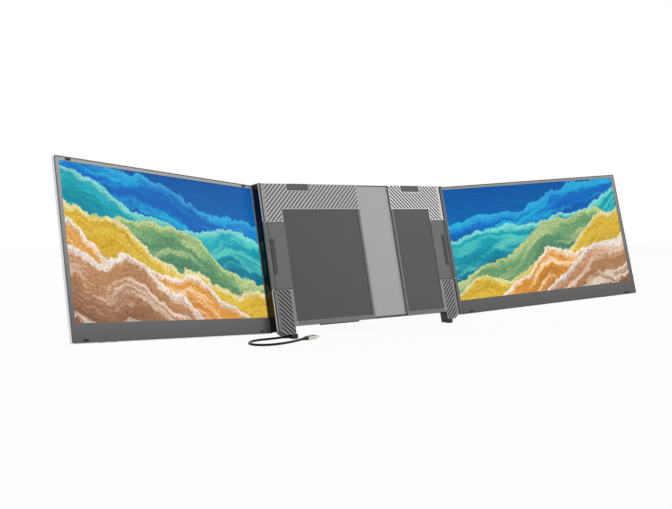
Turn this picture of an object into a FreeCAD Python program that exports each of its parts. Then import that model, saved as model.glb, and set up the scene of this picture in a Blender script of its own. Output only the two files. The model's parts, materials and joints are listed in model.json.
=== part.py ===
"""Laptop screen extender: two hinged screens on a telescoping frame, millimetres, +Z up.

The frame is modelled upright, with X across, Y towards the back and Z up, and
then leans back on its feet and its kickstand. Each screen is modelled open and
flat beside the frame and then swings about its own hinge to where it stands.
"""
import FreeCAD, Part
import math
import os

Vector = FreeCAD.Vector

# Screens
ACTIVE_WIDTH = 344.2            # lit picture of a 15.6 inch panel
ACTIVE_HEIGHT = 193.6
ACTIVE_BOTTOM = 45.9            # height of the picture's lower edge on the frame
HINGE_BORDER = 4.7              # hinge axis to picture
OUTER_BORDER = 6.6
TOP_BORDER = 5.4
CHIN_HEIGHT = 23.2
SCREEN_THICKNESS = 8.6
SCREEN_WALL = 1.4
SCREEN_BACK = 1.6
EDGE_BEVEL = 4.0                # slope of the back towards the free end and the top
SCREEN_CORNER = 2.5
BEZEL_THICKNESS = 1.2
PANEL_GLASS = 1.6
PANEL_MARGIN = 2.4              # dark border of the panel round its picture
DIFFUSER_THICKNESS = 1.9
SEAT_GAP = 0.2                  # between parts that are seated on each other
SWING_LEFT = 19.65              # how far each screen stands forward of flat, degrees
SWING_RIGHT = 17.1

# Hinges
AXIS_HALF = 180.5               # half the distance between the two hinge axes
BARREL_RADIUS = 2.9
PIN_RADIUS = 1.6
PIN_FIT = 0.05
OFFSET_LEFT = 12.0              # how far the picture side lies behind the hinge axis
OFFSET_RIGHT = 2.1
BRACKET_INSET = 2.6             # reach of bracket and screen case past the axis
LEDGE_DEPTH = 1.5
KNUCKLE_GAP = 1.5               # between the knuckles of frame and bracket
WALL_GAP = 1.2                  # frame knuckle to the bracket's wall behind it
BARREL_SLOT_ANGLE = 55.5        # shadow line on the bracket's knuckles, degrees from the front
BARREL_SLOT_WIDTH = 0.8
BARREL_SLOT_DEPTH = 0.6
PIN_LENGTH = 74.0
SLEEVE_RADIUS = 2.3
SLEEVE_LENGTH = 22.0

# Frame
FRAME_TOP = 246.0
ARM_BOTTOM = 17.5
PLATE_BOTTOM = 30.0
MID_BOTTOM = 84.4               # smooth middle length of each arm
MID_TOP = 186.2
BRACKET_BOTTOM = 23.0
BRACKET_TOP = 245.6
FRAME_FRONT = 0.6               # front face behind the hinge axes
COVER_THICKNESS = 2.4
FRAME_DEPTH = 18.0
FRAME_WALL = 1.8
TOP_WALL = 1.2
SIDE_GAP = 0.5                  # between a barrel and the side of its arm
SEAM = 0.1                      # half the open seam between two covers
ARM_WIDTH = 31.0                # hinge side of an arm to its inner cover edge
FOOT_ARM_WIDTH = 27.0
CORNER_CUT_X = 8.8
CORNER_CUT_Z = 7.8
LEFT_COVER_END = 0.0            # inner edge of the left front cover
TRAY_SHOWN = 65.0               # smooth tray that shows between the covers
FIELD_TOP = 206.0               # top of the recessed middle of each cover
FIELD_BOTTOM = 36.0
FIELD_DEPTH = 0.8
FIELD_BORDER = 4.0

# Ribs
RIB_PITCH = 4.95
GROOVE_WIDTH = 2.5
GROOVE_FLOOR = 1.5
GROOVE_DEPTH = 0.9
RIB_MARGIN = 1.1
LEAST_GROOVE = 0.6              # volume below which a groove's cut-off corner is left out
TRIM_LEFT = 2.0                 # plain strip between barrel and ribs
TRIM_RIGHT = 3.9
TRIM_LINE = 0.7                 # fine groove beside that strip

# Bumper pads on the arms
ARM_PAD_LENGTH = 53.7
ARM_PAD_WIDTH = 7.4
ARM_PAD_LEVEL = 134.6
ARM_PAD_INSET = 4.2             # trim strip of the arm to the pad's middle
ARM_PAD_RECESS = 1.2
ARM_PAD_PROUD = 0.6

# Top clips
CLIP_WIDTH = 38.0
CLIP_HEIGHT = 9.6
CLIP_CENTRE = 112.0             # from the middle of the frame
CLIP_SIDE_GAP = 0.7
CLIP_PROUD = 0.9
CLIP_STEM_WIDTH = 24.0
CLIP_STEM_LENGTH = 34.0
CLIP_STEM_THICKNESS = 2.6
CLIP_SPRING_RADIUS = 2.2
CLIP_SPRING_LENGTH = 20.0
CLIP_WELL_DEPTH = 30.0          # room below a clip's stem for its spring

# Telescoping slide
TRAY_THICKNESS = 1.8
TRAY_FLANGE = 8.0
TRAY_HIDDEN_LEFT = 40.0         # tray inside the left half
TRAY_END_GAP = 17.1             # end of the tray to the outer side of the right arm
RUN_GAP = 0.4
TRAY_POST_INSET = 26.0          # top or bottom of the plate to a post of the tray
RAIL_WIDTH = 5.0
RAIL_THICKNESS = 2.6
GLIDE_LENGTH = 18.0
GLIDE_FIRST = 6.0
GLIDE_SPACING = 26.0

# Kickstand
LEG_WIDTH = 110.0
LEG_LENGTH = 147.0              # pivot to the middle of the rubber foot
LEG_OPENING = 33.81             # from folded flat to standing on the table, degrees
LEG_THICKNESS = 2.4
LEG_TAPER = 14.0
LEG_BARREL = 2.2
LEG_PIN_RADIUS = 1.1
LEG_KNUCKLE = 30.0
LEG_FOOT_RADIUS = 3.0
LEG_POCKET_GAP = 0.6
LEG_POCKET_DEPTH = 3.0

# Feet
FRONT_FOOT_HEIGHT = 7.0         # underside of the arm's front edge above the table
FOOT_WIDTH = 10.5
FOOT_TOE = 2.5
FOOT_INNER = 1.5                # reach of a foot past the inner side of its arm
FOOT_BACK = 20.5
LEAN = 14.3                     # frame leans back, degrees

# Boards, ports and screws
BOARD_THICKNESS = 1.2
MAIN_BOARD = (110.0, 70.0)
MAIN_BOARD_INSET = 22.0         # side of the left arm to the board
MAIN_BOARD_DROP = 18.0          # pivot of the kickstand to the top of the board
BOARD_STANDOFF = 3.0
POST_INSET = 5.0                # edge of a board to the middle of its post
POST_RADIUS = 2.5
CHIP_SIZE = 14.0
CHIP_PITCH = 24.0
CHIP_HEIGHT = 1.6
SOCKET_LENGTH = 22.0
SOCKET_DEPTH = 5.0
SOCKET_HEIGHT = 2.4
PORT_BOARD_INSET = 48.0         # side of the left arm to the port board
PORT_BOARD_HEIGHT = 16.0
DRIVER_BOARD = (105.0, 13.0)
DRIVER_CHIPS = 5
DRIVER_CHIP_PITCH = 18.0
DRIVER_CHIP_LENGTH = 9.0
PORT_WIDTH = 9.0
PORT_HEIGHT = 3.3
PORT_DEPTH = 7.2
PORT_WALL = 0.35
PORT_SPACING = 24.0
SCREW_HEAD_RADIUS = 2.2
SCREW_HEAD_HEIGHT = 1.3
SCREW_RADIUS = 1.1
SCREW_FIT = 0.05
BOSS_RADIUS = 3.0
HINGE_SCREW_HEAD = 1.6
HINGE_SCREW_RADIUS = 0.85

# Buttons under each screen
BUTTON_LENGTH = 9.0
BUTTON_WIDTH = 2.8
BUTTON_FIT = 0.15
BUTTON_PROUD = 0.2
BUTTON_TRAVEL = 0.5
BUTTON_FLANGE = 0.8
BUTTON_PLACES = (292.0, 310.0)  # from the hinge axis along the screen

# Screen bumpers
BUMPER_LENGTH = 7.0
BUMPER_WIDTH = 2.8
BUMPER_INSET = 0.4              # inside of the case's wall to a bumper
BUMPER_PROUD = 0.6
BUMPER_PLACES = (22.0, 336.0)

# USB lead
CORD_DIAMETER = 3.6
CORD_EXIT_Y = 10.0
CORD_EXIT_HEIGHT = 2.8
CORD_RELIEF_RADIUS = 2.5
CORD_RELIEF_LENGTH = 12.0
CORD_REST = CORD_DIAMETER / 2 + 0.05
PLUG_LENGTH = 19.0
PLUG_WIDTH = 10.6
PLUG_HEIGHT = 6.0
PLUG_COLLAR = 9.0
PLUG_TIP_LENGTH = 6.65
PLUG_TIP_WIDTH = 8.25
PLUG_TIP_HEIGHT = 2.4

# Values worked out from those above
SCREEN_END = HINGE_BORDER + ACTIVE_WIDTH + OUTER_BORDER
SCREEN_BOTTOM = ACTIVE_BOTTOM - CHIN_HEIGHT
SCREEN_TOP = ACTIVE_BOTTOM + ACTIVE_HEIGHT + TOP_BORDER
ARM_SIDE = AXIS_HALF - BARREL_RADIUS - SIDE_GAP
COVER_BACK = FRAME_FRONT + COVER_THICKNESS
FRAME_BACK = FRAME_FRONT + FRAME_DEPTH
INNER_BACK = FRAME_BACK - FRAME_WALL
HALF_SEAM_X = LEFT_COVER_END + TRAY_SHOWN
TRAY_FRONT = COVER_BACK + RUN_GAP
TRAY_TOP = FRAME_TOP - TOP_WALL - RUN_GAP
TRAY_BOTTOM = PLATE_BOTTOM + FRAME_WALL + RUN_GAP
TRAY_LEFT = LEFT_COVER_END - TRAY_HIDDEN_LEFT
TRAY_RIGHT = ARM_SIDE - TRAY_END_GAP
LEG_PIVOT_Y = FRAME_BACK - LEG_POCKET_DEPTH + 0.3
LEAN_RAD = math.radians(LEAN)
TABLE_Z = ARM_BOTTOM * math.cos(LEAN_RAD) - FRONT_FOOT_HEIGHT
LEG_FOOT_OFFSET = LEG_THICKNESS / 2
LEG_REACH = math.hypot(LEG_LENGTH, LEG_FOOT_OFFSET)
LEG_SLANT = math.radians(LEG_OPENING - LEAN) + math.atan(LEG_FOOT_OFFSET / LEG_LENGTH)
LEG_PIVOT_HEIGHT = LEG_FOOT_RADIUS + LEG_REACH * math.cos(LEG_SLANT)
LEG_PIVOT = (LEG_PIVOT_HEIGHT + TABLE_Z + LEG_PIVOT_Y * math.sin(LEAN_RAD)) / math.cos(LEAN_RAD)


def box(x0, x1, y0, y1, z0, z1):
    """Block between two corners, given in any order along each axis."""
    low = Vector(min(x0, x1), min(y0, y1), min(z0, z1))
    return Part.makeBox(abs(x1 - x0), abs(y1 - y0), abs(z1 - z0), low)


def rod(radius, length, base, direction):
    return Part.makeCylinder(radius, length, Vector(*base), Vector(*direction))


def prism_xz(points, y0, y1):
    """Straight prism along Y over an outline given as (x, z) pairs."""
    corners = [Vector(x, y0, z) for x, z in points]
    face = Part.Face(Part.makePolygon(corners + corners[:1]))
    return face.extrude(Vector(0, y1 - y0, 0))


def stadium(centre_x, centre_z, width, height, y0, y1):
    """Upright bar with round ends, seen from the front."""
    radius = width / 2
    straight = height / 2 - radius
    bar = box(centre_x - radius, centre_x + radius, y0, y1, centre_z - straight, centre_z + straight)
    for end in (-straight, straight):
        bar = bar.fuse(rod(radius, y1 - y0, (centre_x, y0, centre_z + end), (0, 1, 0)))
    return bar.removeSplitter()


def round_edges(shape, radius, wanted):
    """Fillet the edges that the test picks out."""
    edges = [edge for edge in shape.Edges if wanted(edge)]
    return shape.makeFillet(radius, edges)


def along(edge, axis):
    """True where a straight edge runs along one of the axes."""
    if len(edge.Vertexes) < 2:
        return False
    span = edge.Vertexes[-1].Point - edge.Vertexes[0].Point
    return span.Length > 1e-6 and abs(abs(span.dot(axis)) - span.Length) < 1e-6


def mirror_x(shape):
    return shape.mirror(Vector(0, 0, 0), Vector(1, 0, 0))


def group(shapes):
    return Part.makeCompound(shapes)


def cut_all(shape, tools):
    return shape.cut(group(tools)) if tools else shape


def screw(radius, head_radius, length, base, direction):
    """Flat headed screw, its head's face at base and its shank along direction."""
    head = rod(head_radius, SCREW_HEAD_HEIGHT, base, direction)
    return head.fuse(rod(radius, length, base, direction)).removeSplitter()


def screw_hole(radius, head_radius, length, base, direction):
    wide = rod(head_radius + 2 * SCREW_FIT, SCREW_HEAD_HEIGHT + SEAT_GAP / 2, base, direction)
    return wide.fuse(rod(radius + SCREW_FIT, length + SEAT_GAP, base, direction))


# Ribbed covers

def front_slab(x0, x1, z0, z1):
    """Box that spans the depth of the grooves in the front face."""
    return box(x0, x1, FRAME_FRONT - 1, FRAME_FRONT + GROOVE_DEPTH + 1, z0, z1)


def rib_grooves(region, rise):
    """Slanting grooves that fill a region of the front face; rise is +1 to the right and -1 to the left."""
    bounds = region.BoundBox
    reach = bounds.ZLength
    step = RIB_PITCH * math.sqrt(2)
    slope = math.sqrt(2) / 2
    half_top, half_floor = GROOVE_WIDTH / 2, GROOVE_FLOOR / 2
    grooves = []
    for index in range(int((bounds.XLength + reach) / step) + 1):
        foot_x = bounds.XMin + (index + 0.5) * step - (reach if rise > 0 else 0)
        start = Vector(foot_x, 0, bounds.ZMin)
        run = Vector(rise * reach, 0, reach)
        side = Vector(slope, 0, -rise * slope)
        section = [
            start - side * half_top + Vector(0, FRAME_FRONT - 0.01, 0),
            start + side * half_top + Vector(0, FRAME_FRONT - 0.01, 0),
            start + side * half_floor + Vector(0, FRAME_FRONT + GROOVE_DEPTH, 0),
            start - side * half_floor + Vector(0, FRAME_FRONT + GROOVE_DEPTH, 0),
        ]
        overrun = run * (GROOVE_WIDTH / reach)
        section = [point - overrun for point in section]
        face = Part.Face(Part.makePolygon(section + section[:1]))
        for piece in face.extrude(run + overrun * 2).common(region).Solids:
            if piece.Volume > LEAST_GROOVE:
                grooves.append(piece)
    return grooves


def arm_outline(top, bottom, inner_x):
    """Left arm seen from the front, with its slanted lower outer corner."""
    return [
        (-ARM_SIDE, top), (-ARM_SIDE, bottom + CORNER_CUT_Z), (-ARM_SIDE + CORNER_CUT_X, bottom),
        (inner_x, bottom), (inner_x, top),
    ]


def trim_line(trim, low, high):
    """Fine groove beside the plain strip along the hinge."""
    left = -ARM_SIDE + trim
    return box(left, left + TRIM_LINE, FRAME_FRONT - 1, FRAME_FRONT + GROOVE_DEPTH, low, high)


def front_cover(inner_x, trim, rise):
    """Upper ribbed cover of the left half; inner_x is its edge by the tray."""
    cover = box(-ARM_SIDE, inner_x, FRAME_FRONT, COVER_BACK, PLATE_BOTTOM, FRAME_TOP)
    arm_inner = -ARM_SIDE + ARM_WIDTH
    below = box(-ARM_SIDE - 1, arm_inner, FRAME_FRONT - 1, COVER_BACK + 1, PLATE_BOTTOM - 1, MID_TOP + SEAM)
    field = box(arm_inner + SEAM, inner_x - FIELD_BORDER, FRAME_FRONT - 1, FRAME_FRONT + FIELD_DEPTH,
                FIELD_BOTTOM, FIELD_TOP)
    clip_half = CLIP_WIDTH / 2 + CLIP_SIDE_GAP
    clip_low = FRAME_TOP - CLIP_HEIGHT - CLIP_SIDE_GAP
    clip_gap = box(-CLIP_CENTRE - clip_half, -CLIP_CENTRE + clip_half, FRAME_FRONT - 1, COVER_BACK + 1,
                   clip_low, FRAME_TOP + 1)
    left = -ARM_SIDE + trim + TRIM_LINE + RIB_MARGIN
    arm = front_slab(left, arm_inner - RIB_MARGIN, MID_TOP + RIB_MARGIN, FRAME_TOP + 1)
    strip = front_slab(left, inner_x - RIB_MARGIN, FIELD_TOP + RIB_MARGIN, FRAME_TOP + 1)
    spared = front_slab(-CLIP_CENTRE - clip_half - RIB_MARGIN, -CLIP_CENTRE + clip_half + RIB_MARGIN,
                        clip_low - RIB_MARGIN, FRAME_TOP + 2)
    region = arm.fuse(strip).removeSplitter().cut(spared)
    line = trim_line(trim, MID_TOP, FRAME_TOP + 1)
    return cut_all(cover, [below, field, clip_gap, line] + rib_grooves(region, rise))


def lower_cover(trim, rise):
    """Lower ribbed cover, down to the foot of the arm."""
    inner_x = -ARM_SIDE + FOOT_ARM_WIDTH
    cover = prism_xz(arm_outline(MID_BOTTOM - SEAM, ARM_BOTTOM, inner_x), FRAME_FRONT, COVER_BACK)
    plate = box(inner_x, -ARM_SIDE + ARM_WIDTH, FRAME_FRONT, COVER_BACK, PLATE_BOTTOM, MID_BOTTOM - SEAM)
    line = trim_line(trim, ARM_BOTTOM + CORNER_CUT_Z, MID_BOTTOM)
    inside = prism_xz(arm_outline(MID_BOTTOM, ARM_BOTTOM, inner_x), FRAME_FRONT - 1, COVER_BACK)
    region = front_slab(-ARM_SIDE + trim + TRIM_LINE + RIB_MARGIN, inner_x - RIB_MARGIN,
                        ARM_BOTTOM + RIB_MARGIN, MID_BOTTOM - RIB_MARGIN)
    region = region.common(inside.translated(Vector(RIB_MARGIN, 0, RIB_MARGIN)))
    return cut_all(cover.fuse(plate).removeSplitter(), [line] + rib_grooves(region, rise))


def knuckle_span():
    return MID_BOTTOM + KNUCKLE_GAP / 2, MID_TOP - KNUCKLE_GAP / 2


def mid_cover(trim):
    """Smooth middle length of the arm with the frame's hinge knuckle on its outer edge."""
    low, high = knuckle_span()
    plate = box(-ARM_SIDE, -ARM_SIDE + ARM_WIDTH, FRAME_FRONT, COVER_BACK, low, high)
    barrel = rod(BARREL_RADIUS, high - low, (-AXIS_HALF, 0, low), (0, 0, 1))
    web = box(-AXIS_HALF, -ARM_SIDE + 1, FRAME_FRONT, COVER_BACK - SEAM, low, high)
    line = trim_line(trim, low - 1, high + 1)
    bore = rod(PIN_RADIUS + PIN_FIT, high - low + 2, (-AXIS_HALF, 0, low - 1), (0, 0, 1))
    recess = stadium(-ARM_SIDE + trim + ARM_PAD_INSET, ARM_PAD_LEVEL, ARM_PAD_WIDTH, ARM_PAD_LENGTH,
                     FRAME_FRONT - 1, FRAME_FRONT + ARM_PAD_RECESS)
    sleeves = [rod(SLEEVE_RADIUS, SLEEVE_LENGTH, (-AXIS_HALF, 0, level), (0, 0, 1))
               for level in (low, high - SLEEVE_LENGTH)]
    body = plate.fuse([barrel, web]).removeSplitter()
    return cut_all(body, [bore, recess, line] + sleeves)


def arm_pad(trim):
    width, length = ARM_PAD_WIDTH - 2 * SEAM, ARM_PAD_LENGTH - 2 * SEAM
    pad = stadium(-ARM_SIDE + trim + ARM_PAD_INSET, ARM_PAD_LEVEL, width, length,
                  FRAME_FRONT - ARM_PAD_PROUD, FRAME_FRONT + ARM_PAD_RECESS)
    front = FRAME_FRONT - ARM_PAD_PROUD
    return round_edges(pad, 0.4, lambda edge: abs(edge.BoundBox.YMax - front) < 1e-6)


# Hinge parts

def hinge_pins():
    """Two steel pins, each half in the frame's knuckle and half in the bracket."""
    half = PIN_LENGTH / 2
    return group([rod(PIN_RADIUS, PIN_LENGTH, (-AXIS_HALF, 0, level - half), (0, 0, 1))
                  for level in (MID_BOTTOM, MID_TOP)])


def friction_sleeves():
    low, high = knuckle_span()
    sleeves = []
    for level in (low, high - SLEEVE_LENGTH):
        outer = rod(SLEEVE_RADIUS - PIN_FIT, SLEEVE_LENGTH, (-AXIS_HALF, 0, level), (0, 0, 1))
        sleeves.append(outer.cut(rod(PIN_RADIUS + PIN_FIT, SLEEVE_LENGTH, (-AXIS_HALF, 0, level), (0, 0, 1))))
    return group(sleeves)


def bracket_spans():
    """Heights of the bracket's lower and upper knuckles."""
    return ((BRACKET_BOTTOM, MID_BOTTOM - KNUCKLE_GAP / 2), (MID_TOP + KNUCKLE_GAP / 2, BRACKET_TOP))


def hinge_screw_levels():
    lower, upper = bracket_spans()
    return [lower[0] + 9, lower[1] - 9, upper[0] + 9, upper[1] - 9]


def hinge_bracket(offset):
    """Wall that stands on the screen's hinge edge and carries two knuckles, screen lying open and flat."""
    foot_y = offset + LEDGE_DEPTH
    outer_x = -AXIS_HALF - BARREL_RADIUS
    inner_x = -AXIS_HALF + BRACKET_INSET
    solids = []
    for low, high in bracket_spans():
        knuckle = rod(BARREL_RADIUS, high - low, (-AXIS_HALF, 0, low), (0, 0, 1))
        knuckle = knuckle.fuse(box(outer_x, inner_x, 0, foot_y, low, high))
        solids.append(knuckle)
    middle_y = BARREL_RADIUS + WALL_GAP
    if foot_y - middle_y > 1:
        solids.append(box(outer_x, inner_x, middle_y, foot_y, MID_BOTTOM - 1, MID_TOP + 1))
        body = solids[0].fuse(solids[1:]).removeSplitter()
    else:
        body = group([solid.removeSplitter() for solid in solids])
    holes = []
    for low, high in bracket_spans():
        holes.append(rod(PIN_RADIUS + PIN_FIT, PIN_LENGTH / 2 + 1,
                         (-AXIS_HALF, 0, high + 1 if low < MID_BOTTOM else low - 1),
                         (0, 0, -1 if low < MID_BOTTOM else 1)))
    depth = hinge_screw_reach(offset)
    for level in hinge_screw_levels():
        holes.append(rod(HINGE_SCREW_RADIUS + SCREW_FIT, depth + SEAT_GAP,
                         (hinge_screw_x(), foot_y + 0.01, level), (0, -1, 0)))
    slot = box(-AXIS_HALF - BARREL_SLOT_WIDTH / 2, -AXIS_HALF + BARREL_SLOT_WIDTH / 2,
               -BARREL_RADIUS - 1, -BARREL_RADIUS + BARREL_SLOT_DEPTH, BRACKET_BOTTOM - 1, BRACKET_TOP + 1)
    slot.rotate(Vector(-AXIS_HALF, 0, 0), Vector(0, 0, 1), -BARREL_SLOT_ANGLE)
    holes.append(slot)
    return body.cut(group(holes))


def hinge_screw_x():
    return -AXIS_HALF + 0.3


def hinge_screw_reach(offset):
    """Thread length inside the bracket, short of the pin's bore."""
    room = offset + LEDGE_DEPTH - PIN_RADIUS - PIN_FIT
    return min(4.0, 0.6 * room)


# Screens, modelled on the left side, open and flat

def screen_x(distance):
    """X of a point of the left screen at a distance out from its hinge axis."""
    return -AXIS_HALF - distance


def screen_box(s0, s1, depth0, depth1, z0, z1, offset):
    return box(screen_x(s0), screen_x(s1), offset + depth0, offset + depth1, z0, z1)


def boss_places():
    """Screw bosses in the chin, as distances from the hinge axis."""
    return [12.0, 120.0, 245.0, SCREEN_END - 10.0]


def edge_slopes(offset, inset):
    """Wedges that thin the back of the case towards its free end and its top."""
    back = offset + SCREEN_THICKNESS - inset
    end = screen_x(SCREEN_END - inset)
    top = SCREEN_TOP - inset
    over = EDGE_BEVEL + 2
    side = Part.Face(Part.makePolygon([Vector(end + EDGE_BEVEL + 2, back + 2, SCREEN_BOTTOM - 1),
                                       Vector(end - 2, back + 2, SCREEN_BOTTOM - 1),
                                       Vector(end - 2, back - over, SCREEN_BOTTOM - 1),
                                       Vector(end + EDGE_BEVEL + 2, back + 2, SCREEN_BOTTOM - 1)]))
    crown = Part.Face(Part.makePolygon([Vector(end - 3, back + 2, top - EDGE_BEVEL - 2),
                                        Vector(end - 3, back + 2, top + 2),
                                        Vector(end - 3, back - over, top + 2),
                                        Vector(end - 3, back + 2, top - EDGE_BEVEL - 2)]))
    return [side.extrude(Vector(0, 0, SCREEN_TOP - SCREEN_BOTTOM + 2)),
            crown.extrude(Vector(SCREEN_END + BRACKET_INSET + 10, 0, 0))]


def screen_case(offset):
    """Case open to the front, with bosses, screw holes and button slots."""
    back = offset + SCREEN_THICKNESS
    case = screen_box(-BRACKET_INSET, SCREEN_END, 0, SCREEN_THICKNESS, SCREEN_BOTTOM, SCREEN_TOP, offset)
    case = round_edges(case, SCREEN_CORNER, lambda edge: along(edge, Vector(0, 1, 0)))
    case = cut_all(case, edge_slopes(offset, 0.0))
    hollow = screen_box(BRACKET_INSET - 1, SCREEN_END - SCREEN_WALL, -1, SCREEN_THICKNESS - SCREEN_BACK,
                        SCREEN_BOTTOM + SCREEN_WALL, SCREEN_TOP - SCREEN_WALL, offset)
    hollow = cut_all(hollow, edge_slopes(offset, SCREEN_WALL * 0.8))
    ledge = screen_box(-BRACKET_INSET - 1, BARREL_RADIUS + SEAT_GAP, -1, LEDGE_DEPTH,
                       SCREEN_BOTTOM - 1, SCREEN_TOP + 1, offset)
    case = case.cut(hollow).cut(ledge)
    level = boss_level()
    bosses = [rod(BOSS_RADIUS, SCREEN_THICKNESS - SCREEN_BACK - BEZEL_THICKNESS,
                  (screen_x(place), offset + BEZEL_THICKNESS, level), (0, 1, 0))
              for place in boss_places()]
    case = case.fuse(bosses).removeSplitter()
    holes = [screw_hole(SCREW_RADIUS, SCREW_HEAD_RADIUS, screen_screw_length(),
                        (screen_x(place), back, level), (0, -1, 0)) for place in boss_places()]
    reach = SCREEN_THICKNESS - LEDGE_DEPTH
    holes += [screw_hole(HINGE_SCREW_RADIUS, HINGE_SCREW_HEAD, reach + 1,
                         (hinge_screw_x(), back, height), (0, -1, 0)) for height in hinge_screw_levels()]
    for place in BUTTON_PLACES:
        holes.append(button_slot(place, offset))
    return cut_all(case, holes)


def boss_level():
    return SCREEN_BOTTOM + SCREEN_WALL + 2 * BOSS_RADIUS + 1


def screen_screw_length():
    return SCREEN_THICKNESS - BEZEL_THICKNESS - 0.8


def screen_screws(offset):
    back = offset + SCREEN_THICKNESS
    level = boss_level()
    screws = [screw(SCREW_RADIUS, SCREW_HEAD_RADIUS, screen_screw_length(),
                    (screen_x(place), back, level), (0, -1, 0)) for place in boss_places()]
    length = SCREEN_THICKNESS - LEDGE_DEPTH + hinge_screw_reach(offset)
    screws += [screw(HINGE_SCREW_RADIUS, HINGE_SCREW_HEAD, length,
                     (hinge_screw_x(), back, height), (0, -1, 0)) for height in hinge_screw_levels()]
    return group(screws)


def screen_bezel(offset, on_top):
    plate = screen_box(BARREL_RADIUS + SEAT_GAP, SCREEN_END - SCREEN_WALL - SEAM, 0, BEZEL_THICKNESS,
                       SCREEN_BOTTOM + SCREEN_WALL + SEAM, SCREEN_TOP - SCREEN_WALL - SEAM, offset)
    window = screen_box(HINGE_BORDER, HINGE_BORDER + ACTIVE_WIDTH, -1, BEZEL_THICKNESS + 1,
                        ACTIVE_BOTTOM, ACTIVE_BOTTOM + ACTIVE_HEIGHT, offset)
    return cut_all(plate, [window] + bumper_solids(offset, 0.0, on_top))


def panel_depth():
    return LEDGE_DEPTH + SEAT_GAP


def lcd_panel(offset):
    return screen_box(HINGE_BORDER - PANEL_MARGIN, HINGE_BORDER + ACTIVE_WIDTH + PANEL_MARGIN,
                      panel_depth(), panel_depth() + PANEL_GLASS,
                      ACTIVE_BOTTOM - PANEL_MARGIN, ACTIVE_BOTTOM + ACTIVE_HEIGHT + PANEL_MARGIN, offset)


def diffuser(offset):
    front = panel_depth() + PANEL_GLASS + SEAT_GAP / 2
    return screen_box(HINGE_BORDER, HINGE_BORDER + ACTIVE_WIDTH, front, front + DIFFUSER_THICKNESS,
                      ACTIVE_BOTTOM - 1, ACTIVE_BOTTOM + ACTIVE_HEIGHT + 1, offset)


def driver_board(offset):
    """Display driver board in the chin, with its chips and the two switches of the buttons."""
    length, height = DRIVER_BOARD
    first = boss_places()[1] + BOSS_RADIUS + 2
    depth = SCREEN_THICKNESS - SCREEN_BACK - SEAT_GAP
    low = SCREEN_BOTTOM + SCREEN_WALL + 2
    board = screen_box(first, first + length, depth - BOARD_THICKNESS, depth, low, low + height, offset)
    edges = [first + DRIVER_CHIP_PITCH * (index + 0.5) for index in range(DRIVER_CHIPS)]
    chips = [screen_box(edge, edge + DRIVER_CHIP_LENGTH, depth - BOARD_THICKNESS - 1,
                        depth - BOARD_THICKNESS, low + 2, low + 9, offset) for edge in edges]
    return board.fuse(chips).removeSplitter()


def button_board(offset):
    """Small switch board above the buttons."""
    depth = SCREEN_THICKNESS - SCREEN_BACK - SEAT_GAP
    low = SCREEN_BOTTOM + SCREEN_WALL + BUTTON_FLANGE + BUTTON_TRAVEL + 2 * SEAT_GAP
    first, last = BUTTON_PLACES[0] - 8, BUTTON_PLACES[-1] + 8
    board = screen_box(first, last, depth - BOARD_THICKNESS, depth, low + 2, low + 10, offset)
    switches = [screen_box(place - 2, place + 2, depth - 3.6, depth - BOARD_THICKNESS, low, low + 4, offset)
                for place in BUTTON_PLACES]
    return board.fuse(switches).removeSplitter()


def button_bar(place, offset, grow, z0, z1):
    centre_y = offset + SCREEN_THICKNESS / 2
    half_length, half_width = BUTTON_LENGTH / 2 + grow, BUTTON_WIDTH / 2 + grow
    x = screen_x(place)
    bar = box(x - half_length + half_width, x + half_length - half_width, centre_y - half_width,
              centre_y + half_width, z0, z1)
    for side in (-1, 1):
        end_x = x + side * (half_length - half_width)
        bar = bar.fuse(rod(half_width, z1 - z0, (end_x, centre_y, z0), (0, 0, 1)))
    return bar.removeSplitter()


def button_slot(place, offset):
    return button_bar(place, offset, BUTTON_FIT, SCREEN_BOTTOM - 1, SCREEN_BOTTOM + SCREEN_WALL + 1)


def button(place, offset):
    """Push button in the lower edge of the screen, with the flange that keeps it in."""
    inner = SCREEN_BOTTOM + SCREEN_WALL
    cap = button_bar(place, offset, 0.0, SCREEN_BOTTOM - BUTTON_PROUD, inner + SEAT_GAP)
    flange = button_bar(place, offset, 0.6, inner + SEAT_GAP / 2, inner + SEAT_GAP / 2 + BUTTON_FLANGE)
    return cap.fuse(flange).removeSplitter()


def bumper_levels(on_top):
    """Lower edges of the bumpers: always on the chin, and on the top of the screen that folds last."""
    inset = SCREEN_WALL + BUMPER_INSET
    low = SCREEN_BOTTOM + inset
    return (low, SCREEN_TOP - inset - BUMPER_WIDTH) if on_top else (low,)


def bumper_solids(offset, proud, on_top):
    return [screen_box(place - BUMPER_LENGTH / 2, place + BUMPER_LENGTH / 2, -proud, BEZEL_THICKNESS,
                       low, low + BUMPER_WIDTH, offset)
            for place in BUMPER_PLACES for low in bumper_levels(on_top)]


# Frame halves, modelled on the left side

def frame_screw_places(left_half):
    """Screw positions (x, z) of one frame half."""
    column = -ARM_SIDE + 9.0
    levels = (ARM_BOTTOM + 16.5, MID_BOTTOM - 6.5, MID_BOTTOM + 10.5,
              MID_TOP - 11, MID_TOP + 9, FRAME_TOP - 10)
    places = [(column, level) for level in levels]
    if left_half:
        places += [(TRAY_LEFT - 20, FRAME_TOP - 10), (TRAY_LEFT - 20, PLATE_BOTTOM + 10)]
    return places


def frame_screw_length():
    return FRAME_BACK - COVER_BACK + 1.0


def frame_screws(left_half):
    return group([screw(SCREW_RADIUS, SCREW_HEAD_RADIUS, frame_screw_length(), (x, FRAME_BACK, z), (0, -1, 0))
                  for x, z in frame_screw_places(left_half)])


def frame_screw_holes(left_half):
    return [screw_hole(SCREW_RADIUS, SCREW_HEAD_RADIUS, frame_screw_length(), (x, FRAME_BACK, z), (0, -1, 0))
            for x, z in frame_screw_places(left_half)]


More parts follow.
